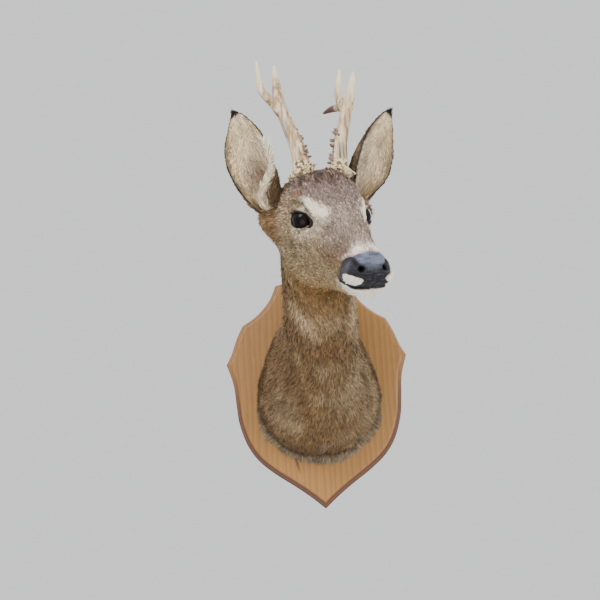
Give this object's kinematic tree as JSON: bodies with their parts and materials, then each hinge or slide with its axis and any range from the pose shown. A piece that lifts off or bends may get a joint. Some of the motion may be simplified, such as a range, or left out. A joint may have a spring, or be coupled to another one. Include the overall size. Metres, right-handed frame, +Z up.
{
  "type": "roe deer shoulder mount",
  "caption": "Taxidermy roe buck head and neck, turned to its left, with short forked antlers, on a shield-shaped wooden wall board.",
  "frame": {"origin": "on the flat back face of the shield board, on its centre line, 160 mm above the lower tip", "axes": "+Z up along the board's centre line, +Y out of the board's back towards the wall, -Y the way the buck faces, +X the buck's own left"},
  "size_m": [0.254, 0.3458, 0.5243],
  "materials": {
    "board": "light oak with vertical grain, satin varnish, darker moulded edge",
    "screws": "zinc-plated screw heads in the board's back",
    "coat": "dense grey-brown agouti winter hair, matt",
    "chin_coat": "short cream-white hair, matt",
    "ear_coat": "brown hair outside, cream hair inside, dark rim",
    "nose_leather": "black pebbled nose leather with a soft blue-grey gloss",
    "eye_glass": "near-black brown glass eye, high gloss",
    "antler": "grey-tan antler bone with grooves and pearls, pale polished tips"
  },
  "bodies": {
    "root": {"shield_board": "board", "board_screw_1": "screws", "board_screw_2": "screws", "board_screw_3": "screws", "neck_lower": "coat", "neck_upper": "coat", "head_cranium": "coat", "head_face": "coat", "chin": "chin_coat", "nose_pad": "nose_leather", "ear_left": "ear_coat", "ear_right": "ear_coat", "eye_left": "eye_glass", "eye_right": "eye_glass", "antler_left_beam": "antler", "antler_left_front_tine": "antler", "antler_left_main_tine": "antler", "antler_left_rear_tine": "antler", "antler_right_beam": "antler", "antler_right_front_tine": "antler", "antler_right_main_tine": "antler"}
  },
  "joints": []
}
